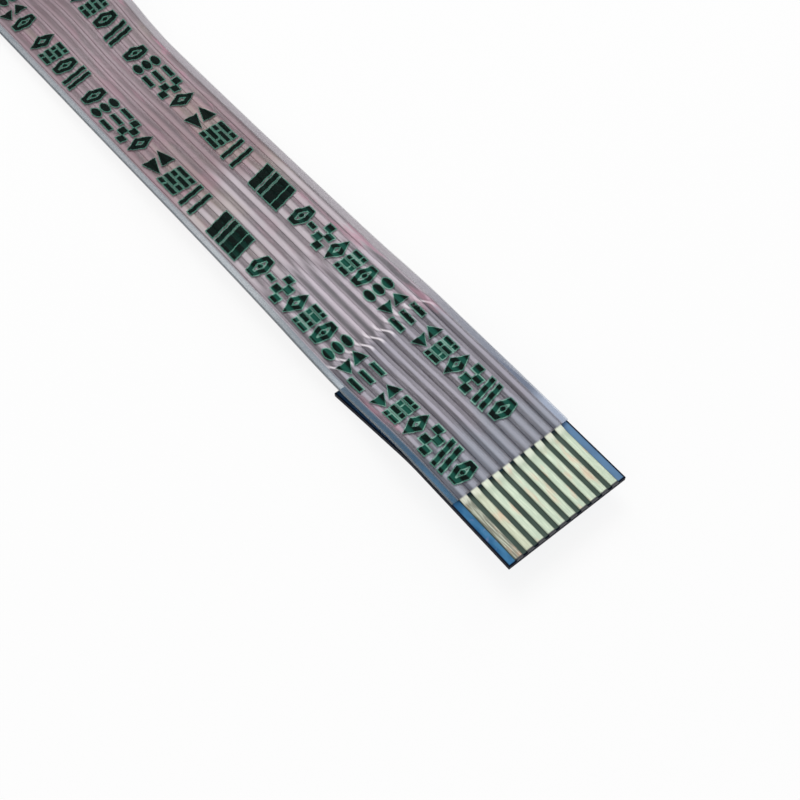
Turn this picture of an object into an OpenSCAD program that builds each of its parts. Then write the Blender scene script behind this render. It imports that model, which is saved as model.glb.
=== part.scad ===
// Flat flex cable: ten flat tinned conductors laminated between two polyester films,
// with bare contacts and a stiffener tape at each end.
// It lies on the plane z = 0. X runs along the cable with the near end at +X, Y across it.
// The near stiffener has been bent and has peeled from the film, which holds that end up a little.

/* [Cable] */
// Overall length, from contact tip to contact tip
cable_l = 50; // [40:1:150]
// Distance between the centre lines of neighbouring conductors
pitch = 0.5; // [0.5:0.05:1.25]
// From an outer conductor's centre line to the cable's edge
margin = 0.5; // [0.4:0.05:1]

/* [Conductors] */
// Width of one flat conductor
conductor_w = 0.32; // [0.2:0.01:0.36]
// Thickness of one flat conductor
conductor_t = 0.05; // [0.03:0.005:0.08]
// How far the rolled edge of a conductor is rounded in
conductor_edge = 0.02; // [0.01:0.005:0.04]

/* [Films] */
// Thickness of one film with its adhesive, over a conductor
film_t = 0.06; // [0.05:0.005:0.1]
// How far the outside of a film sinks between two conductors
rib_drop = 0.035; // [0.02:0.005:0.05]
// Width of the sloping shoulder on each side of a rib
rib_shoulder = 0.06; // [0.03:0.005:0.06]

/* [Ends] */
// Length of the bare contacts
bare_l = 3; // [2:0.25:4]
// Length of a stiffener tape
stiffener_l = 9.75; // [9:0.25:14]
// Thickness of a stiffener tape
stiffener_t = 0.2; // [0.1:0.01:0.3]
// Length over which a conductor steps up from the stiffener onto the lower film
step_l = 0.3; // [0.2:0.05:0.6]

/* [Bent near end] */
// Length of film that the near stiffener still holds, past the bare contacts
bond_l = 1.75; // [1:0.25:3]
// Height of the near end's underside above the plane that the cable lies on, up to where the tape lets go
tip_lift = 0.9; // [0.5:0.05:1.3]
// Length in which the near stiffener bends down once it has let go
tape_bend = 1.2; // [0.6:0.1:1.6]
// Height of the cable's underside at the crease just past the stiffener
crease_lift = 0.85; // [0.6:0.05:1.2]
// Distance from the stiffener's inner end to the crease
crease_gap = 0.45; // [0.2:0.05:1]
// Twist at the crease: how much higher the +Y edge is than the -Y edge
crease_twist = 0.4; // [0:0.05:0.6]
// Length past the crease in which the twist dies away
untwist_l = 5; // [3:0.5:8]

/* [Wave before the far end] */
// Length of the wave, which ends where the cable comes to lie level
wave_l = 9.5; // [6:0.5:12]
// How far the middle of the cable rises in the wave
wave_rise = 0.4; // [0:0.05:0.8]
// How much higher the +Y edge is than the -Y edge at the top of the wave
wave_twist = 0.8; // [0:0.05:1]

/* [Hidden] */
WAYS = 10;

cable_w = (WAYS - 1) * pitch + 2 * margin;
peel_s = bare_l + bond_l;                // where the near stiffener lets go and bends down
fall_s = peel_s + tape_bend / 2;         // where the film starts to come down after it
bonded_z = tip_lift + stiffener_t;       // height of the cable's underside up to there
crease_s = stiffener_l + crease_gap;     // where the film is creased
level_s = cable_l - stiffener_l - 2;     // from here to the far end the cable lies level
wave_s = level_s - wave_l;               // where the wave starts
laminate_t = 2 * film_t + conductor_t;   // both films with a conductor between them
tape_steps = 5;                          // facets in the near stiffener's bend
bend_steps = 6;                          // rings in the bent stretch of film
untwist_steps = 3;                       // rings in the stretch that untwists
wave_steps = 6;                          // rings in the wave

function conductor_name(i) = str("conductor_", i < 10 ? "0" : "", i);
function conductor_y(i) = cable_w / 2 - margin - (i - 1) * pitch;

// 0 before a, 1 after b, and a smooth rise in between
function ease(v, a, b) = let (t = min(max((v - a) / (b - a), 0), 1)) t * t * (3 - 2 * t);
function mix(a, b, t) = a + (b - a) * t;
function spread(a, b, n) = [for (k = [0:n]) mix(a, b, k / n)];

// The share of the wave's height that is reached at a distance s from the near tip
wave_top = mix(wave_s, level_s, 0.5);
function wave(s) = ease(s, wave_s, wave_top) * (1 - ease(s, wave_top, level_s));

// Height of the cable's underside at s: level at first, down to the crease,
// and straight down to the far stiffener with the wave on the way
function sloping_z(s) = mix(crease_lift, stiffener_t, (s - crease_s) / (level_s - crease_s));
function underside(s) =
    s <= crease_s ? mix(bonded_z, crease_lift, ease(s, fall_s, crease_s)) :
    s <= level_s ? sloping_z(s) + wave_rise * wave(s) :
    stiffener_t;

// Tilt across the cable, as a rise per unit of width: the twist at the crease and the one in the wave
function crease_share(s) =
    ease(s, fall_s, crease_s) * (1 - ease(s, crease_s, crease_s + untwist_l));
function twist(s) = (crease_twist * crease_share(s) + wave_twist * wave(s)) / cable_w;

// A conductor lies on the stiffener where it is bare, and on the lower film elsewhere
function seat(s) = film_t * ease(min(s, cable_l - s), bare_l - step_l, bare_l);

FILM_STATIONS = concat(
    [bare_l],
    spread(fall_s, crease_s, bend_steps),
    [for (k = [1:untwist_steps]) crease_s + untwist_l * k / untwist_steps],
    spread(wave_s, level_s, wave_steps),
    [cable_l - bare_l]
);
STEP_STATIONS = spread(bare_l - step_l, bare_l - step_l / 2, 1);
CONDUCTOR_STATIONS = concat(
    [0],
    STEP_STATIONS,
    FILM_STATIONS,
    [for (k = [1:-1:0]) cable_l - STEP_STATIONS[k]],
    [cable_l]
);

// One ring of an outline of [y, height] points, set across the cable at s
function ring(s, outline, lift) = [
    for (p = outline) [cable_l / 2 - s, p[0], underside(s) + lift + p[1] + twist(s) * p[0]]
];

// Triangles that close the end of a thin outline whose first half runs back over its second half
function strip_cap(n) = [
    for (j = [0:n / 2 - 2]) each [[j, j + 1, n - 1 - j], [j + 1, n - 2 - j, n - 1 - j]]
];

// A solid through rings of one thin outline, which runs from -Y to +Y above and back below.
// Both halves split their faces along the same diagonals, so that two lofts which meet fit exactly.
module loft(stations, outline, lifts) {
    n = len(outline);
    last = (len(stations) - 1) * n;
    points = [for (k = [0:len(stations) - 1]) each ring(stations[k], outline, lifts[k])];
    sides = [
        for (k = [0:len(stations) - 2]) for (j = [0:n - 1])
            let (a = k * n + j, b = k * n + (j + 1) % n)
                each j < n / 2 ? [[a, a + n, b], [b, a + n, b + n]] : [[a, b + n, b], [a, a + n, b + n]]
    ];
    near_cap = strip_cap(n);
    far_cap = [for (t = strip_cap(n)) [last + t[2], last + t[1], last + t[0]]];
    polyhedron(points, concat(sides, near_cap, far_cap), convexity = 6);
}

// Four points over one conductor: half_w from its centre line at height low, and inset by run at height high
function hump(y, half_w, run, low, high) = [
    [y - half_w, low], [y - half_w + run, high], [y + half_w - run, high], [y + half_w, low]
];
function turned(points) = [for (k = [len(points) - 1:-1:0]) points[k]];

// The chain across a whole film: an edge point, a hump over each conductor, and an edge point
function chain(half_w, run, low, high) = concat(
    [[-cable_w / 2, low]],
    [for (i = [WAYS:-1:1]) each hump(conductor_y(i), half_w, run, low, high)],
    [[cable_w / 2, low]]
);

// Flat tinned ribbon with rolled edges, bare at both ends
module conductor(i) {
    upper = hump(conductor_y(i), conductor_w / 2, conductor_edge, conductor_t / 2, conductor_t);
    lower = hump(conductor_y(i), conductor_w / 2, conductor_edge, conductor_t / 2, 0);
    color("#D9E0C4")
        loft(
            CONDUCTOR_STATIONS,
            concat(upper, [lower[2], lower[1]]),
            [for (s = CONDUCTOR_STATIONS) seat(s)]
        );
}

// The upper film: ribs outside, and channels that fit the upper halves of the conductors inside.
// A fold of -1 gives the lower film, which is the same turned over.
module film(fold) {
    middle = laminate_t / 2;
    inside = chain(
        conductor_w / 2, conductor_edge, middle, middle + fold * conductor_t / 2);
    outside = chain(
        (conductor_w + rib_shoulder) / 2,
        rib_shoulder,
        middle + fold * (middle - rib_drop),
        middle + fold * middle
    );
    outline = fold > 0 ? concat(outside, turned(inside)) : concat(inside, turned(outside));
    loft(FILM_STATIONS, outline, [for (s = FILM_STATIONS) 0]);
}

module top_film() {
    color("#B9B2BD", 0.6) film(1);
}

module bottom_film() {
    color("#C5B8BE", 0.8) film(-1);
}

// The near stiffener: level along the bonded stretch, then bent down to the plane below
module stiffener_near() {
    fall = tip_lift / (stiffener_l - peel_s - tape_bend / 2);
    bend = [
        for (u = spread(0, tape_bend, tape_steps))
            [peel_s + u, tip_lift - fall * u * u / (2 * tape_bend)]
    ];
    lower = concat([[0, tip_lift]], bend, [[stiffener_l, 0]]);
    upper = turned([for (p = lower) [p[0], p[1] + stiffener_t]]);
    color("#3F74A8")
        translate([cable_l / 2, cable_w / 2, 0])
            rotate([90, 0, 0])
                linear_extrude(cable_w)
                    polygon([for (p = concat(lower, upper)) [-p[0], p[1]]]);
}

module stiffener_far() {
    color("#3F74A8")
        translate([-cable_l / 2, -cable_w / 2, 0])
            cube([stiffener_l, cable_w, stiffener_t]);
}

top_film();
bottom_film();
stiffener_near();
stiffener_far();
for (i = [1:WAYS])
    conductor(i);
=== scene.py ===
# %% [markdown]
# # A flat flex cable
#
# A flat flex cable is a sandwich about a sixth of a millimetre thick: flat tinned copper ribbons lie side
# by side between two clear films. At each end the films stop short, so that the ribbons lie bare on a
# stiffener tape and can be pushed into a socket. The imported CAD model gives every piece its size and
# place. This script gives them their finish, and adds what is too fine for CAD: the soft ribs of the
# film, the crease, and the ink printed on it.

# %% Load the frame
import math
import bisect
import bpy
import bmesh
from mathutils import Matrix, Vector, noise


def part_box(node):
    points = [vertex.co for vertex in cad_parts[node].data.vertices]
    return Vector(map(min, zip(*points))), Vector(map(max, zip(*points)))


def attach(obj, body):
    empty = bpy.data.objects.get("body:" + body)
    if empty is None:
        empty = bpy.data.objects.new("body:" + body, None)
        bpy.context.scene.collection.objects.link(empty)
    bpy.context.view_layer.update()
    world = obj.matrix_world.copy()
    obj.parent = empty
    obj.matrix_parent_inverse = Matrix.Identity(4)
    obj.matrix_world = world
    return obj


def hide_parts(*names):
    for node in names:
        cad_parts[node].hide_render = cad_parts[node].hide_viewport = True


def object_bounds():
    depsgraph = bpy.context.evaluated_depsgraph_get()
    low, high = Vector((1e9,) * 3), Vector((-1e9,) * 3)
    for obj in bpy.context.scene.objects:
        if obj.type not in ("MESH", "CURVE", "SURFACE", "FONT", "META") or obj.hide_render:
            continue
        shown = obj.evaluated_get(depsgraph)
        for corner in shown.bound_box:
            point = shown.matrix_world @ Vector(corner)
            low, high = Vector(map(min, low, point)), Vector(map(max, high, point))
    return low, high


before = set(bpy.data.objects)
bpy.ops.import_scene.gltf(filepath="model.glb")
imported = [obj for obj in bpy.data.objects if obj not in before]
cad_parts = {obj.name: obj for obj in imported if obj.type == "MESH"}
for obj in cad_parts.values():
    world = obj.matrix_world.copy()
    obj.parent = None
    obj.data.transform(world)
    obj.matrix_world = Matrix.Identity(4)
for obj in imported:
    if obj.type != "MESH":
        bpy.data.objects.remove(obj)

cad_low, cad_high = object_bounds()
print("nodes:", len(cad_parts), "size in mm:", [round(1000 * v, 2) for v in cad_high - cad_low])

# %% [markdown]
# Everything below is worked out in millimetres and turned to metres at the end, because a thickness of
# 0.06 reads better than 0.00006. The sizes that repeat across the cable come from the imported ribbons.

# %% Driving sizes, in millimetres
MM = 0.001
WAYS = 10


def ribbon_name(way):
    return f"conductor_{way:02d}"


def box_mm(node):
    low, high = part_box(node)
    return low / MM, high / MM


tip_x = cad_high.x / MM
edge_y = cad_high.y / MM
film_end_x = box_mm("top_film")[1].x
first_low, first_high = box_mm(ribbon_name(1))
second_low, second_high = box_mm(ribbon_name(2))
ribbon_w = first_high.y - first_low.y
ribbon_y = (first_high.y + first_low.y) / 2
pitch = first_high.y - second_high.y
ribbon_t = 0.05
film_t = 0.06
rib_drop = 0.035
laminate_t = 2 * film_t + ribbon_t
print("pitch", round(pitch, 3), "ribbon", round(ribbon_w, 3), "film ends at", round(film_end_x, 2))

# %% [markdown]
# ## The lie of the cable
#
# The cable isn't flat: it rises to the bent end, twists a little at the crease, and has a shallow wave.
# The two outermost ribbons of the CAD model know that course. Reading their middles gives the height
# anywhere on the cable, so that every finer piece follows the same bends.

# %% Read the course of a ribbon
def course(way):
    """Places x and heights z, in millimetres, along the middle of a CAD ribbon."""
    rings = {}
    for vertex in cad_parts[ribbon_name(way)].data.vertices:
        x, y, z = (round(c / MM, 4) for c in vertex.co)
        rings.setdefault(x, set()).add((y, z))
    xs = sorted(rings)
    return xs, [sum(z for _, z in rings[x]) / len(rings[x]) for x in xs]


COURSES = {way: course(way) for way in (1, WAYS)}


def along(course_of, x):
    """Height of a course at x, on a smooth curve through its rings."""
    xs, zs = course_of
    k = min(max(bisect.bisect_right(xs, x) - 1, 0), len(xs) - 2)
    width = xs[k + 1] - xs[k]
    t = (x - xs[k]) / width

    def slope(j):
        if j in (0, len(xs) - 1):
            return 0
        before = (zs[j] - zs[j - 1]) / (xs[j] - xs[j - 1])
        after = (zs[j + 1] - zs[j]) / (xs[j + 1] - xs[j])
        return 0 if before * after <= 0 else 2 * before * after / (before + after)

    rise = zs[k + 1] - zs[k]
    s0, s1 = slope(k) * width, slope(k + 1) * width
    return zs[k] + t * (s0 + t * (3 * rise - 2 * s0 - s1 + t * (s0 + s1 - 2 * rise)))


def middle(x, y):
    """Height of the middle of the ribbons at a place on the cable."""
    plus, minus = along(COURSES[1], x), along(COURSES[WAYS], x)
    return minus + (plus - minus) * (y + ribbon_y) / (2 * ribbon_y)


print("height at the tip", round(middle(tip_x, 0), 3), "and at the far end", round(middle(-tip_x, 0), 3))


# %% Small helpers for shapes
def ease(value, start, end):
    """0 at start, 1 at end, and a smooth rise in between."""
    t = min(max((value - start) / (end - start), 0), 1)
    return t * t * (3 - 2 * t)


def off_ribbon(y):
    """Distance across from y to the middle of the nearest ribbon."""
    nearest = min(max(round((ribbon_y - y) / pitch), 0), WAYS - 1)
    return y - (ribbon_y - nearest * pitch)


def finish_piece(name, bm, material, sharp=40):
    """Turn a bmesh in millimetres into a piece of the object that rides on the cable."""
    bmesh.ops.transform(bm, matrix=Matrix.Scale(MM, 4), verts=bm.verts)
    mesh = bpy.data.meshes.new(name)
    bm.to_mesh(mesh)
    bm.free()
    mesh.shade_smooth()
    mesh.set_sharp_from_angle(angle=math.radians(sharp))
    piece = bpy.data.objects.new(name, mesh)
    bpy.context.scene.collection.objects.link(piece)
    mesh.materials.append(material)
    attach(piece, "root")
    print(name, "faces:", len(mesh.polygons))
    return piece


# %% [markdown]
# ## Shader maths as Python
#
# A finish is a small program: where on the piece is this point, and what colour is it there? Blender
# writes such programs as nodes. The class below wraps a node's output, so that Python's own operators
# add the Math nodes, and one method makes every other kind of node.

# %% A socket with operators, and a paint that makes nodes
class Value:
    """A number or colour that changes over a surface."""

    def __init__(self, paint, socket):
        self.paint, self.socket = paint, socket

    def math(self, operation, *inputs):
        return self.paint.node("ShaderNodeMath", {"operation": operation}, dict(enumerate(inputs)))

    def __add__(self, other):
        return self.math("ADD", self, other)

    def __sub__(self, other):
        return self.math("SUBTRACT", self, other)

    def __rsub__(self, other):
        return self.math("SUBTRACT", other, self)

    def __mul__(self, other):
        return self.math("MULTIPLY", self, other)

    def __truediv__(self, other):
        return self.math("DIVIDE", self, other)

    def __abs__(self):
        return self.math("ABSOLUTE", self)

    __radd__ = __add__
    __rmul__ = __mul__


class Paint:
    """A material being made, with the place of each point in millimetres."""

    def __init__(self, name):
        self.material = bpy.data.materials.new(name)
        self.material.use_nodes = True
        self.tree = self.material.node_tree
        self.tree.nodes.clear()
        self.place = self.node("ShaderNodeTexCoord", {}, {}, "Object")
        facing = self.node("ShaderNodeTexCoord", {}, {}, "Normal")
        self.up = self.node("ShaderNodeSeparateXYZ", {}, {0: facing}, "Z")
        self.x, self.y, self.z = (
            self.node("ShaderNodeSeparateXYZ", {}, {0: self.place}, axis) / MM for axis in "XYZ"
        )
        self.s = tip_x - self.x
        across = self.y - ribbon_y
        self.lean = across.math("WRAP", across, pitch / 2, -pitch / 2)
        self.off = abs(self.lean)

    def node(self, kind, settings, inputs, output=0):
        made = self.tree.nodes.new(kind)
        for setting, value in settings.items():
            setattr(made, setting, value)
        for socket, value in inputs.items():
            if isinstance(value, Value):
                self.tree.links.new(value.socket, made.inputs[socket])
            else:
                made.inputs[socket].default_value = value
        return None if output is None else Value(self, made.outputs[output])

    def rise(self, value, start, end):
        """0 at start and 1 at end, smooth; start may be the larger."""
        smooth = {"interpolation_type": "SMOOTHSTEP"}
        return self.node("ShaderNodeMapRange", smooth, {0: value, 1: start, 2: end})

    def between(self, value, start, end, soft):
        return self.rise(value, start - soft, start + soft) * self.rise(value, end + soft, end - soft)

    def swing(self, peak, count=1):
        """A soft wave across the cable, 1 at that distance from every ribbon's middle, 0 half way on."""
        turns = (self.lean - peak) * (2 * math.pi * count / pitch)
        return 0.5 + 0.5 * turns.math("COSINE", turns)

    def mix(self, amount, low, high):
        """One colour where the amount is 0, and the other where it is 1."""
        return self.node("ShaderNodeMix", {"data_type": "RGBA"}, {0: amount, 6: low, 7: high}, 2)

    def noise(self, size, stretch=1.0, detail=3.0):
        """Cloudy numbers round 0.5, of that size in millimetres across, and longer along the cable."""
        scaled = self.node("ShaderNodeMapping", {}, {0: self.place, 3: (1 / stretch, 1, 1)})
        inputs = {"Vector": scaled, "Scale": 1 / (size * MM), "Detail": detail}
        return self.node("ShaderNodeTexNoise", {}, inputs)

    def bump(self, height, depth, strength=1.0):
        """A normal bent by a height, where 1 is that many millimetres deep."""
        inputs = {"Height": height, "Distance": depth * MM, "Strength": strength}
        return self.node("ShaderNodeBump", {}, inputs)

    def surface(self, inputs):
        shader = self.node("ShaderNodeBsdfPrincipled", {}, inputs)
        self.node("ShaderNodeOutputMaterial", {}, {"Surface": shader}, None)
        return self.material


def colour(code, alpha=1.0):
    """A colour written as in a paint shop, such as C5B8BE, as linear numbers."""
    parts = [int(code[k:k + 2], 16) / 255 for k in (0, 2, 4)]
    return [p / 12.92 if p <= 0.04045 else ((p + 0.055) / 1.055) ** 2.4 for p in parts] + [alpha]


print("a paint gives its nodes from one method, and sums from operators")

# %% [markdown]
# ## The films
#
# Hot rollers press the films round the ribbons, so the outside swells into a soft rib over each ribbon
# and sinks between them. The crease just past the stiffener tape has left a short slanting ridge over
# each ribbon, with a groove beside it. A flat grid, raised point by point to the height that the film
# has there, holds all of that. The grid is finer along the crease than elsewhere.

# %% The outside of a film
film_cols, film_rows = 220, 154
crease_s = 10.4            # middle of the crease, from the near tip
crease_span = 0.9          # length of cable that gets the fine columns
crease_share = 0.28        # share of the columns that it gets
ridge_high = 0.035
ridge_wide = 0.075
shoulder = (0.11, 0.215)   # where a rib starts to fall, and where it is down
bead = 0.007               # the glue's own small ridge midway between two ribbons
seam = 0.002               # gap between the two films, and from a ribbon to the lower one
broad_dent = (3.2, 1.6, 0.012)     # length, width and height of a dent in a handled film
fine_dent = (1.1, 0.35, 0.0035)


def rib(y):
    """1 on top of a rib, 0 between two of them."""
    off = abs(off_ribbon(y))
    glue = 1 - ease(abs(off - pitch / 2), 0, 0.06)
    return 1 - ease(off, *shoulder) + glue * bead / rib_drop


def crease(x, y):
    """Height of the slanting ridges and grooves that the crease has left."""
    off = off_ribbon(y)
    if abs(y) > ribbon_y + pitch / 2:
        return 0
    along_s = tip_x - x - (crease_s - 1.5 * off)
    fade = 1 - (min(abs(off) / (pitch / 2), 1)) ** 4
    ridge = math.exp(-((along_s / ridge_wide) ** 2))
    groove = math.exp(-(((along_s - 0.17) / ridge_wide) ** 2))
    return ridge_high * fade * (ridge - 0.8 * groove)


def ripple(x, y):
    """The slight unevenness of a film that has been handled."""
    height = 0
    for layer, (length, width, deep) in enumerate((broad_dent, fine_dent)):
        height += deep * noise.noise(Vector((x / length, y / width, 7 * layer)))
    return height


def film_top(x, y):
    """Height of the upper film's outside."""
    swell = laminate_t / 2 - rib_drop * (1 - rib(y))
    return middle(x, y) + swell + crease(x, y) + ripple(x, y)


def upper_inside(x, y):
    """Height of the upper film's inside, which follows the tops of the ribbons."""
    return middle(x, y) + ribbon_t / 2 * rib(y) + crease(x, y) + ripple(x, y)


def lower_inside(x, y):
    """Height of the lower film's inside."""
    return middle(x, y) - ribbon_t / 2 * rib(y) - seam


def lower_outside(x, y):
    """Height of the lower film's outside, ribbed downwards."""
    return middle(x, y) - laminate_t / 2 + rib_drop * (1 - rib(y))


def column(u):
    """Place along the film of a share u of its columns, which crowd together at the crease."""
    near = tip_x - crease_s + crease_span / 2
    far = near - crease_span
    share_far = (far + film_end_x) / (2 * film_end_x - crease_span) * (1 - crease_share)
    if u < share_far:
        return -film_end_x + (far + film_end_x) * u / share_far
    if u < share_far + crease_share:
        return far + crease_span * (u - share_far) / crease_share
    return near + (film_end_x - near) * (u - share_far - crease_share) / (1 - share_far - crease_share)


def sheet(cols, rows, outer, inner):
    """A closed film between two height rules, from one flat grid."""
    bm = bmesh.new()
    bmesh.ops.create_grid(bm, x_segments=cols, y_segments=rows, size=0.5)
    copy = bmesh.ops.extrude_face_region(bm, geom=bm.faces[:])
    raised = {v for v in copy["geom"] if isinstance(v, bmesh.types.BMVert)}
    for vertex in bm.verts:
        x, y = column(vertex.co.x + 0.5), 2 * edge_y * vertex.co.y
        height = outer if vertex in raised else inner
        vertex.co = (x, y, height(x, y))
    bmesh.ops.recalc_face_normals(bm, faces=bm.faces)
    return bm


print("a rib is", rib_drop, "mm high, the crease's ridge", ridge_high)

# %% [markdown]
# ## Light and dark lines under the film
#
# Through the film each ribbon shows as one light and one dark line, and which side is light depends on
# how the ribbon lies to the lamp. The lines change over at the crease, grow strong behind it, and fade
# to broad pinkish bands along the cable. One rule in terms of the distance from the ribbon's middle
# paints ribbons and glue alike, so the lines run on where one piece meets the next.

# %% The lines as one rule
def blend(share, before, after):
    """A number that goes from before to after as the share goes from 0 to 1."""
    return before + (after - before) * share


def lines(paint):
    """Colour under the film: painted light and shade lines that drift across each ribbon, in zones along
    the cable.
    """
    s = paint.s + (paint.noise(0.5, 30, 0) - 0.5) * 3.0
    creased = paint.rise(paint.s, 10.05, 10.75)
    double = 0.62 * paint.swing(0.12) + 0.38 * paint.swing(0.07, 2)
    zones = [
        (None, paint.swing(0.12), "353E4E", "969BA9"),
        (paint.rise(s, 4.2, 5.8), double, "221C2E", "A09CAA"),
        (creased, paint.swing(0.25), "241B2A", "C8BDC8"),
        (paint.rise(s, 13.4, 16.2), paint.swing(-0.02), "62545C", "B8ADB4"),
        (paint.rise(s, 19.5, 21.5), paint.swing(-0.08), "5A4047", "8E7279"),
        (paint.rise(s, 24.5, 27.0), paint.swing(-0.16), "654F56", "98828A"),
    ]
    _, level, dark, light = zones[0]
    dark, light = colour(dark), colour(light)
    for share, zone_level, zone_dark, zone_light in zones[1:]:
        level = blend(share, level, zone_level)
        dark = paint.mix(share, dark, colour(zone_dark))
        light = paint.mix(share, light, colour(zone_light))
    level = paint.rise(level, 0.05, 0.95)
    streak = paint.noise(0.09, 60.0, 2)
    shade = paint.mix(level + (streak - 0.5) * 0.9, dark, light)
    cream = paint.rise(paint.noise(1.1, 6.0), 0.5, 0.7) * paint.rise(s, 15.0, 19.0)
    shade = paint.mix(cream * 0.35, shade, colour("A5977F"))
    # At the crease each ribbon gets a slanting painted highlight, with a painted shade line beside it.
    slant = 0.08 - 0.33 * creased
    beside = paint.lean - slant
    beside = abs(beside.math("WRAP", beside, pitch / 2, -pitch / 2))
    at_crease = paint.between(paint.s, 10.0, 10.85, 0.15)
    shade = paint.mix(at_crease * paint.rise(beside, 0.075, 0.015) * 0.8, shade, colour("F4ECF2"))
    shade = paint.mix(at_crease * paint.between(beside, 0.08, 0.15, 0.03) * 0.5, shade, colour("3A303C"))
    # Painted shadow where the film's cut end steps down, darkest over the gaps between ribbons.
    by_end = paint.rise(abs(paint.x), film_end_x - 0.13, film_end_x - 0.02)
    film_step_shadow = by_end * (0.12 + 0.6 * paint.rise(paint.off, 0.12, 0.2))
    shade = paint.mix(film_step_shadow, shade, colour("26282E"))
    patch = paint.rise(paint.noise(0.45, 5.0), 0.5, 0.66)
    first = paint.rise(paint.y, 1.75, 1.95) * paint.rise(paint.s, 8.6, 10.2)
    last = paint.rise(paint.y, -2.0, -2.2) * paint.between(paint.s, 4.4, 8.6, 0.8)
    warm = patch * (0.20 * paint.rise(s, 11.0, 20.0) + 0.5 * first + 0.6 * last)
    return paint.mix(warm.math("MINIMUM", warm, 1.0), shade, colour("B87890"))


# %% [markdown]
# ## Finish of the films
#
# The film is clear polyester over a milky glue. Over the ribbons it is nearly clear, and in the margins
# the glue alone gives it a grey body, blue where the tape shines through. On the lamp's side both films
# are painted lighter and greyer, as painted light.
# Alpha carries all of that.

# %% Film finish
in_margin = (ribbon_y + 0.17, ribbon_y + 0.27)


def upper_paint():
    paint = Paint("upper film")
    speck = paint.noise(0.35, 1.5)
    margin = paint.rise(abs(paint.y), *in_margin)
    lamp_side = paint.rise(paint.y, -0.5, 0.5)
    taped = paint.rise(paint.s, 14.0, 5.0)
    far_side = paint.mix(taped, colour("7C8C97"), colour("1F6A92"))
    # A painted highlight: a pale glare on the far margin, about 15 to 19 mm from the tip.
    far_side = paint.mix(paint.between(paint.s, 14.5, 19.5, 1.8) * 0.6, far_side, colour("C9D4DA"))
    near_side = paint.mix(taped, colour("A49CA4"), colour("6A768E"))
    near_side = paint.mix(paint.rise(paint.s, 5.0, 4.0), near_side, colour("AEBAD0"))
    tint = paint.mix(lamp_side, far_side, near_side)
    tint = paint.mix(margin, colour("BDB4BC"), tint)
    edge = paint.rise(abs(paint.y), edge_y - 0.09, edge_y - 0.03)
    tint = paint.mix(edge * (1 - lamp_side), tint, colour("3E4A52"))
    body = 0.32 + 0.32 * lamp_side * (1 - edge * 0.7) + 0.5 * edge * (1 - lamp_side)
    body = body - 0.06 * taped * (1 - lamp_side)
    alpha = blend(margin, 0.05 + 0.08 * (speck - 0.3), body)
    return paint.surface({
        "Base Color": tint,
        "Roughness": 0.26 + 0.16 * paint.noise(1.6, 3.0),
        "IOR": 1.5,
        "Alpha": alpha,
        "Normal": paint.bump(speck, 0.004),
    })


def lower_paint():
    paint = Paint("lower film")
    margin = paint.rise(abs(paint.y), *in_margin)
    lamp_side = paint.rise(paint.y, -0.5, 0.5)
    taped = blend(lamp_side, paint.rise(paint.s, 11.5, 8.5), paint.rise(paint.s, 7.5, 5.5))
    dull = paint.rise(paint.s, 15.0, 11.5)
    tint = paint.mix(dull, colour("A4A3AA"), paint.mix(lamp_side, colour("5C6A74"), colour("7E8590")))
    tint = paint.mix(margin, lines(paint), tint)
    return paint.surface({
        "Base Color": tint,
        "Roughness": 0.4,
        "IOR": 1.5,
        "Alpha": blend(margin, 0.96, 0.42 - 0.36 * taped),
    })


upper_finish, lower_finish = upper_paint(), lower_paint()
print("finishes:", upper_finish.name, "and", lower_finish.name)

# %% Lay the films
bm = sheet(film_cols, film_rows, film_top, upper_inside)
upper = finish_piece("film_upper", bm, upper_finish)
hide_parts("top_film")
bm = sheet(film_cols, film_rows // 2, lower_inside, lower_outside)
lower = finish_piece("film_lower", bm, lower_finish)
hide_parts("bottom_film")

# %% [markdown]
# ## The ribbons
#
# Rolled copper ribbon has rounded edges and a faintly crowned face. One ring is pulled along the course
# step by step, so the ribbons follow every bend of the cable.

# %% Round ribbons
ribbon_ring = 20
ribbon_steps = 150
flat_face, flat_side = 0.7, 0.45   # powers below 1 that square a circle to a ribbon's section


def ribbon(way):
    """A closed ribbon: a ring shaped as its section, extruded along its course."""
    y_middle = ribbon_y - (way - 1) * pitch
    bm = bmesh.new()
    ring = bmesh.ops.create_circle(bm, segments=ribbon_ring, radius=1)["verts"]
    for vertex in ring:
        across, up = vertex.co.x, vertex.co.y
        across = math.copysign(abs(across) ** flat_side, across)
        up = math.copysign(abs(up) ** flat_face, up)
        vertex.co = (tip_x, y_middle + across * ribbon_w / 2, up * ribbon_t / 2)
    edges = bm.edges[:]
    for _ in range(ribbon_steps):
        pulled = bmesh.ops.extrude_edge_only(bm, edges=edges)["geom"]
        verts = [g for g in pulled if isinstance(g, bmesh.types.BMVert)]
        edges = [g for g in pulled if isinstance(g, bmesh.types.BMEdge)]
        bmesh.ops.translate(bm, vec=(-2 * tip_x / ribbon_steps, 0, 0), verts=verts)
    bmesh.ops.holes_fill(bm, edges=[e for e in bm.edges if e.is_boundary], sides=0)
    for vertex in bm.verts:
        vertex.co.z += middle(vertex.co.x, vertex.co.y)
    bmesh.ops.recalc_face_normals(bm, faces=bm.faces)
    return bm
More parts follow.
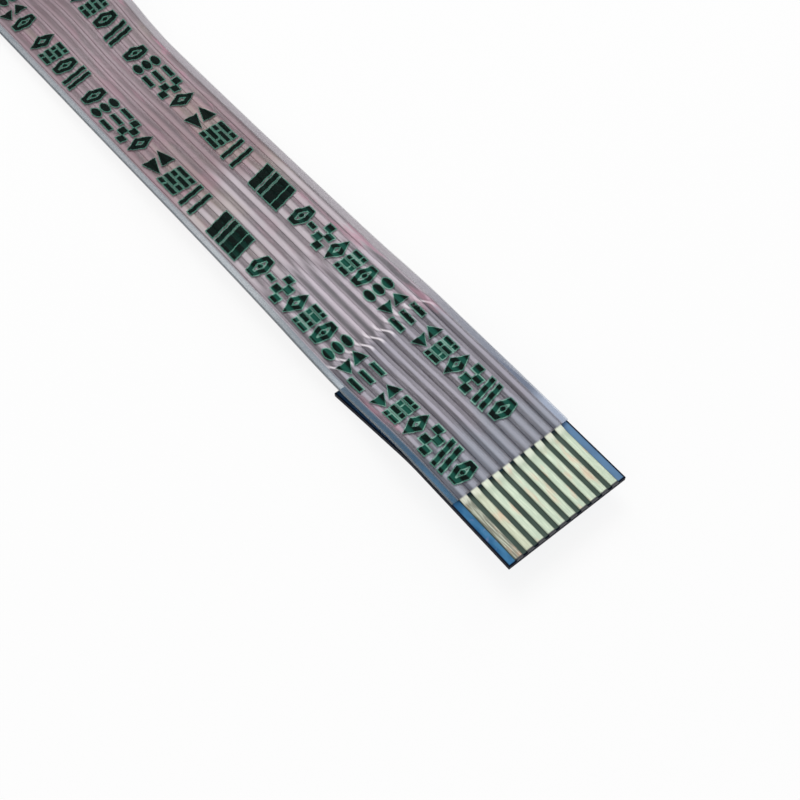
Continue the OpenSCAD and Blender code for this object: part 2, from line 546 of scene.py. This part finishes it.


# %% [markdown]
# Bare tin is pale and satin. Under the film the ribbons take the light and dark lines of lines(), which
# are painted light and shade. The last two contacts are duller, and here and there the bare tin has
# a painted warm glint.

# %% Tin finish
def tin_paint():
    paint = Paint("tin plate")
    from_end = abs(paint.x)
    covered = paint.rise(from_end, film_end_x + 0.05, film_end_x - 0.04)
    # Painted warm glints on the bare tin, in noise patches.
    warm_glint = paint.rise(paint.noise(0.4, 2.5), 0.54, 0.70)
    grain = paint.noise(0.05, 14.0)
    tenth = paint.rise(paint.y, -ribbon_y + 0.75 * pitch, -ribbon_y + 0.25 * pitch)
    ninth = paint.rise(paint.y, -ribbon_y + 1.75 * pitch, -ribbon_y + 1.25 * pitch)
    bare = paint.mix(ninth * 0.35, colour("AEBDA8"), colour("B3A684"))
    bare = paint.mix(tenth * 0.9, bare, colour("66655A"))
    bare = paint.mix(warm_glint * 0.5, bare, colour("CF9A7C"))
    bare = paint.mix(paint.rise(grain, 0.4, 0.7) * 0.5, bare, colour("DDE6D0"))
    bare = paint.mix(paint.rise(paint.off, 0.10, 0.17) * 0.55, bare, colour("5D6A58"))
    glint = paint.rise(from_end, film_end_x + 0.4, film_end_x + 0.1)
    bare = paint.mix(glint * 0.5, bare, colour("F2F4E4"))
    # The cut tip of each ribbon is painted near black, as painted shade, and loses its metal shine there.
    tip_shade = paint.rise(from_end, tip_x - 0.11, tip_x - 0.06)
    bare = paint.mix(tip_shade, bare, colour("01081A"))
    return paint.surface({
        "Base Color": paint.mix(covered, bare, lines(paint)),
        "Metallic": 0.35 * (1 - covered) * (1 - tip_shade),
        "Roughness": 0.36 + 0.12 * grain,
        "Normal": paint.bump(grain, 0.003, 0.6),
    })


tin = tin_paint()
for way in range(1, WAYS + 1):
    piece = finish_piece(f"ribbon_{way:02d}", ribbon(way), tin)
    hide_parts(ribbon_name(way))

# %% [markdown]
# ## The stiffener tapes
#
# The tapes are right as CAD made them, so they keep their meshes and get a finish. Their faces are a
# clear blue, and the cut edges are painted nearly black, as painted shade. Where a tape has carried the
# ribbons, grey glue is left on it, and its grey-green also holds painted shade and reflection from the
# tin.

# %% Tape finish
def tape_paint():
    paint = Paint("blue tape")
    cloud = paint.noise(0.7, 2.0)
    blue = paint.mix(paint.rise(cloud, 0.35, 0.65), colour("2E628C"), colour("5089B2"))
    blue = paint.mix(paint.rise(paint.noise(0.25, 1.0), 0.62, 0.74) * 0.5, blue, colour("8C8FB8"))
    # Painted light: the tape is lighter and greyer towards the lamp's side.
    blue = paint.mix(paint.rise(paint.y, 0, 1) * 0.35, blue, colour("7C8098"))
    upper_face = paint.rise(paint.up, 0.3, 0.6)
    # Painted shadow: where the cable has lifted off the tape, the tape's top lies in its shadow, painted
    # dark navy.
    shade_under_lifted_cable = upper_face * paint.rise(paint.s, 4.6, 5.8) * paint.rise(paint.s, 12.0, 11.0)
    blue = paint.mix(shade_under_lifted_cable * 0.85, blue, colour("081C38"))
    bare_end = paint.rise(abs(paint.x), film_end_x - 0.2, film_end_x + 0.1)
    glued = upper_face * bare_end * paint.rise(abs(paint.y), ribbon_y + 0.21, ribbon_y + 0.15)
    # The glue's grey-green is partly its own colour and partly painted shade and reflection from the tin.
    glue = paint.mix(paint.noise(0.3, 3.0), colour("33423C"), colour("56665E"))
    # Painted shadow on the glue just beside the film's end.
    film_end_shadow = paint.rise(abs(paint.x), film_end_x + 0.3, film_end_x + 0.04)
    glue = paint.mix(film_end_shadow * 0.6, glue, colour("171C1B"))
    top = paint.mix(glued, blue, glue)
    # Painted shade: the side edges, the tip and the inner end of the tape are painted near black.
    side = paint.rise(abs(paint.y), edge_y - 0.09, edge_y - 0.03)
    end = paint.rise(abs(paint.x), tip_x - 0.09, tip_x - 0.04)
    inner_end = paint.rise(abs(paint.x), tape_end_x + 0.05, tape_end_x + 0.01)
    dark = side.math("MAXIMUM", side, end)
    dark = dark.math("MAXIMUM", dark, inner_end)
    return paint.surface({
        "Base Color": paint.mix(dark, top, colour("01081A")),
        "Roughness": 0.34 + 0.2 * cloud,
        "IOR": 1.1,
        "Normal": paint.bump(paint.noise(0.12), 0.004, 0.5),
    })


tape_end_x = box_mm("stiffener_near")[0].x
tape = tape_paint()
for name in ("stiffener_near", "stiffener_far"):
    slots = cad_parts[name].data.materials
    slots.clear()
    slots.append(tape)
    print(name, "has the finish", tape.name)


# %% [markdown]
# ## The ink
#
# Two rows of dark green marks are printed along the cable, in the same run of groups, the second row a
# little nearer to the tip. The marks here are plain shapes, not letters. Each starts as a flat circle,
# grid or ring, is cut along the ribs, and is then laid on the film, so that the ink follows every rib.
# Between the ribs the ink is painted lighter and teal, a painted highlight from the light lines under it
# there, and it bleeds a little.

# %% Shapes that the marks are made of
stroke = 0.19              # width of a printed line
mark_h = 1.24              # height of a mark, across the cable


def bar(bm, middle_at, size, lean=0.0, grow=0.0):
    """A straight line or block, leaning like a slash where lean isn't 0."""
    made = bmesh.ops.create_grid(bm, x_segments=1, y_segments=1, size=0.5)["verts"]
    for vertex in made:
        u = vertex.co.x * (size[0] + 2 * grow)
        v = vertex.co.y * (size[1] + 2 * grow)
        vertex.co = (middle_at[0] + u + lean * v, middle_at[1] + v, 0)


def disc(bm, middle_at, radii, sides, grow=0.0, turn=0.0, hollow=False):
    """A filled or hollow shape with that many sides, as wide and high as its radii say."""
    made = bmesh.ops.create_circle(bm, cap_ends=True, segments=sides, radius=1)["verts"]
    bmesh.ops.rotate(bm, verts=made, cent=(0, 0, 0), matrix=Matrix.Rotation(math.radians(turn), 3, "Z"))
    for vertex in made:
        u, v = vertex.co.x * (radii[0] + grow), vertex.co.y * (radii[1] + grow)
        vertex.co = (middle_at[0] + u, middle_at[1] + v, 0)
    if hollow:
        face = made[0].link_faces[0]
        width = stroke + 2 * grow
        bmesh.ops.inset_region(bm, faces=[face], thickness=width, use_boundary=True, use_even_offset=True)
        bmesh.ops.delete(bm, geom=[face], context="FACES_ONLY")


def mark(bm, kind, w, grow):
    """One printed mark, with its lower left corner at the origin."""
    h, half = mark_h, mark_h / 2
    if kind == "stack":
        for v in (stroke / 2, half, h - stroke / 2):
            bar(bm, (w / 2, v), (w, stroke), 0, grow)
    elif kind == "slashes":
        for u in (w * 0.22, w * 0.78):
            bar(bm, (u, half), (stroke, h), 0.22, grow)
    elif kind == "diamond":
        disc(bm, (w / 2, half), (w / 2, half), 4, grow, 0, True)
    elif kind == "nut":
        disc(bm, (w / 2, half), (w / 2, half), 6, grow, 90, True)
        disc(bm, (w / 2, half), (0.09, 0.12), 12, grow / 2)
    elif kind == "bow":
        disc(bm, (w / 2, h * 0.25), (w / 2, h * 0.29), 3, grow, 90)
        disc(bm, (w / 2, h * 0.75), (w / 2, h * 0.29), 3, grow, 270)
    elif kind == "checks":
        for column_at in (0, 1):
            for row_at in range(4):
                if (column_at + row_at) % 2 == 0:
                    at = (w * (0.25 + 0.5 * column_at), h * (0.125 + 0.25 * row_at))
                    bar(bm, at, (w / 2, h / 4), 0, grow)
    elif kind == "bricks":
        for row_at, share in enumerate((0.62, 0.28, 0.62, 0.28)):
            v = h * (0.125 + 0.25 * row_at)
            bar(bm, (w * share / 2, v), (w * share, stroke), 0, grow)
            bar(bm, (w * (1.1 + share) / 2, v), (w * (0.9 - share), stroke), 0, grow)
    elif kind == "drops":
        for v in (0.17, half, h - 0.17):
            disc(bm, (w / 2, v), (w * 0.42, 0.17), 14, grow)
    elif kind == "dash":
        bar(bm, (w / 2, half), (w, stroke), 0, grow)
    elif kind == "block":
        for k, share in enumerate((0.18, 0.26, 0.12, 0.22)):
            bar(bm, (w * (0.12 + 0.25 * k), half), (w * share, h), 0.3, grow)


print("a mark is", mark_h, "mm high, in lines", stroke, "mm wide")

# %% Where the marks stand
def group(start, width, step, kinds):
    return [(start + k * step, width, kind) for k, kind in enumerate(kinds.split())]


RUN = (
    group(0.0, 0.68, 0.86, "nut slashes checks diamond bricks bow")
    + group(5.45, 0.70, 0.88, "stack bow drops nut bricks diamond checks")
    + group(11.65, 0.36, 1.0, "dash")
    + group(12.15, 0.78, 1.0, "nut")
    + group(13.55, 2.05, 1.0, "block")
    + group(16.5, 1.15, 1.36, "slashes bricks bow")
    + group(20.85, 0.72, 0.92, "diamond checks stack drops nut")
    + group(25.95, 0.72, 0.96, "slashes nut bricks diamond")
    + group(30.45, 0.72, 0.96, "nut bow drops")
    + group(34.4, 0.68, 0.86, "nut slashes checks diamond bricks bow")
)
# Where each row starts along the cable, and where its marks stand across it.
ROWS = {"print_row_1": (4.45, 0.57), "print_row_2": (3.38, -2.26)}
print("a row has", len(RUN), "marks")


def cuts_along():
    """Places along the cable where ink is cut so that it can bend, close together at the crease."""
    fine = [crease_s - 0.6 + 0.04 * k for k in range(31)]
    coarse = [3.2 + 0.3 * k for k in range(147)]
    return [tip_x - s for s in fine + [c for c in coarse if abs(c - crease_s) > 0.7]]


def cuts_across():
    """Places across where a rib bends: its shoulders, and the middles between."""
    steps = (0, 0.11, 0.14, 0.17, 0.2, 0.225, 0.25)
    return [ribbon_y - k * pitch + side * d for k in range(WAYS) for d in steps for side in (1, -1)]


def print_row(start, foot, grow, lift):
    """All marks of a row as one thin closed layer that lies on the film."""
    bm = bmesh.new()
    for at, width, kind in RUN:
        one = bmesh.new()
        mark(one, kind, width, grow)
        for vertex in one.verts:
            vertex.co = (tip_x - (start + at) - vertex.co.x, foot + vertex.co.y, 0)
        held = bpy.data.meshes.new("mark")
        one.to_mesh(held)
        one.free()
        bm.from_mesh(held)
        bpy.data.meshes.remove(held)
    for axis, places in ((0, cuts_along()), (1, cuts_across())):
        spread = [vertex.co[axis] for vertex in bm.verts]
        for place in places:
            if min(spread) < place < max(spread):
                through, normal = Vector(), Vector()
                through[axis], normal[axis] = place, 1
                geom = bm.verts[:] + bm.edges[:] + bm.faces[:]
                bmesh.ops.bisect_plane(bm, geom=geom, dist=0.0005, plane_co=through, plane_no=normal)
    copy = bmesh.ops.extrude_face_region(bm, geom=bm.faces[:])
    raised = {v for v in copy["geom"] if isinstance(v, bmesh.types.BMVert)}
    for vertex in bm.verts:
        base = film_top(vertex.co.x, vertex.co.y)
        vertex.co.z = base + (lift if vertex in raised else -sunk)
    bmesh.ops.recalc_face_normals(bm, faces=bm.faces)
    return bm


# %% Ink finish
def ink_paint(name, thick, thin, body, alpha_thin):
    paint = Paint(name)
    valley_highlight = paint.rise(paint.off, 0.09, 0.19) * paint.rise(paint.s, 19.0, 14.0)
    patchy = paint.noise(0.12, 1.5)
    tint = paint.mix(valley_highlight, colour(thick), colour(thin))
    tint = paint.mix(paint.rise(patchy, 0.55, 0.8) * 0.35, tint, colour(thin))
    return paint.surface({
        "Base Color": tint,
        "Roughness": 0.6 + 0.1 * patchy,
        "IOR": 1.15,
        "Alpha": blend(paint.rise(patchy, 0.3, 0.7), body, alpha_thin),
    })


sunk = 0.003               # how far the ink reaches into the film
ink = ink_paint("ink", "010F0C", "184F43", 1.0, 0.94)
bleed = ink_paint("ink bleed", "538B7A", "8DC0AF", 0.8, 0.4)
for name, (start, foot) in ROWS.items():
    finish_piece(name, print_row(start, foot, 0.0, 0.006), ink)
    finish_piece(name + "_bleed", print_row(start, foot, 0.05, 0.002), bleed)

# %% [markdown]
# ## Floor, light and camera
#
# The object is only five millimetres wide, so the studio is small too: a white floor, a large soft lamp
# behind the cable, whose reflection runs along the ribs and lights the tin, and a weaker one in front.
# The floor and the world are white where the camera sees them, and the lamps stay at a plain level.

# %% Floor
def studio_white(name, share):
    """Pale and shadowed as a floor is, and lifted towards white by a share for the camera."""
    material = bpy.data.materials.new(name)
    material.use_nodes = True
    tree = material.node_tree
    tree.nodes.clear()
    rays = tree.nodes.new("ShaderNodeLightPath")
    most = tree.nodes.new("ShaderNodeMath")
    most.operation = "MAXIMUM"
    tree.links.new(rays.outputs["Is Camera Ray"], most.inputs[0])
    tree.links.new(rays.outputs["Is Glossy Ray"], most.inputs[1])
    lift = tree.nodes.new("ShaderNodeMath")
    lift.operation = "MULTIPLY"
    tree.links.new(most.outputs[0], lift.inputs[0])
    lift.inputs[1].default_value = share
    matt = tree.nodes.new("ShaderNodeBsdfDiffuse")
    matt.inputs["Color"].default_value = (0.9, 0.9, 0.9, 1)
    glow = tree.nodes.new("ShaderNodeEmission")
    both = tree.nodes.new("ShaderNodeMixShader")
    tree.links.new(lift.outputs[0], both.inputs[0])
    tree.links.new(matt.outputs[0], both.inputs[1])
    tree.links.new(glow.outputs[0], both.inputs[2])
    output = tree.nodes.new("ShaderNodeOutputMaterial")
    tree.links.new(both.outputs[0], output.inputs[0])
    return material


bm = bmesh.new()
bmesh.ops.create_grid(bm, x_segments=1, y_segments=1, size=0.5)
floor_gap = 0.005 * MM
bmesh.ops.translate(bm, vec=(0, 0, cad_low.z - floor_gap), verts=bm.verts)
mesh = bpy.data.meshes.new("floor")
bm.to_mesh(mesh)
bm.free()
floor = bpy.data.objects.new("floor", mesh)
mesh.materials.append(studio_white("floor white", 0.85))
bpy.context.scene.collection.objects.link(floor)
print("floor at", cad_low.z - floor_gap)

# %% Lamps and world
def aim(thing, target, azimuth, elevation, distance):
    """Put a lamp or camera round a target, in degrees and millimetres, and face it to the target."""
    a, e = math.radians(azimuth), math.radians(elevation)
    away = Vector((math.cos(a) * math.cos(e), math.sin(a) * math.cos(e), math.sin(e)))
    thing.location = (Vector(target) + distance * away) * MM
    thing.rotation_euler = away.to_track_quat("Z", "Y").to_euler()
    bpy.context.scene.collection.objects.link(thing)


def lamp(name, watts, size, azimuth, elevation, distance):
    light = bpy.data.lights.new(name, "AREA")
    light.energy, light.size = watts, size * MM
    aim(bpy.data.objects.new(name, light), (5, 0, 0), azimuth, elevation, distance)


lamp("key", 0.30, 160, 150, 55, 250)
lamp("fill", 0.12, 200, -60, 40, 250)
lamp("rib light", 0.10, 100, 114, 24, 250)

world = bpy.data.worlds.new("studio")
bpy.context.scene.world = world
world.use_nodes = True
back = world.node_tree.nodes["Background"]
rays = world.node_tree.nodes.new("ShaderNodeLightPath")
level = world.node_tree.nodes.new("ShaderNodeMapRange")
world.node_tree.links.new(rays.outputs["Is Camera Ray"], level.inputs["Value"])
level.inputs["To Min"].default_value = 0.5
level.inputs["To Max"].default_value = 1.0
world.node_tree.links.new(level.outputs[0], back.inputs["Strength"])
back.inputs["Color"].default_value = (1, 1, 1, 1)
bpy.context.scene.view_settings.view_transform = "Standard"
print("lamps:", len(bpy.data.lights))

# %% Camera
lens = bpy.data.cameras.new("camera")
lens.sensor_width, lens.lens = 36, 58.5
lens.clip_start = 1 * MM
camera = bpy.data.objects.new("camera", lens)
aim(camera, (16.939, -0.956, 0), -39.20, 57.90, 48.88)
bpy.context.scene.camera = camera
print("camera at", [round(v, 4) for v in camera.location])
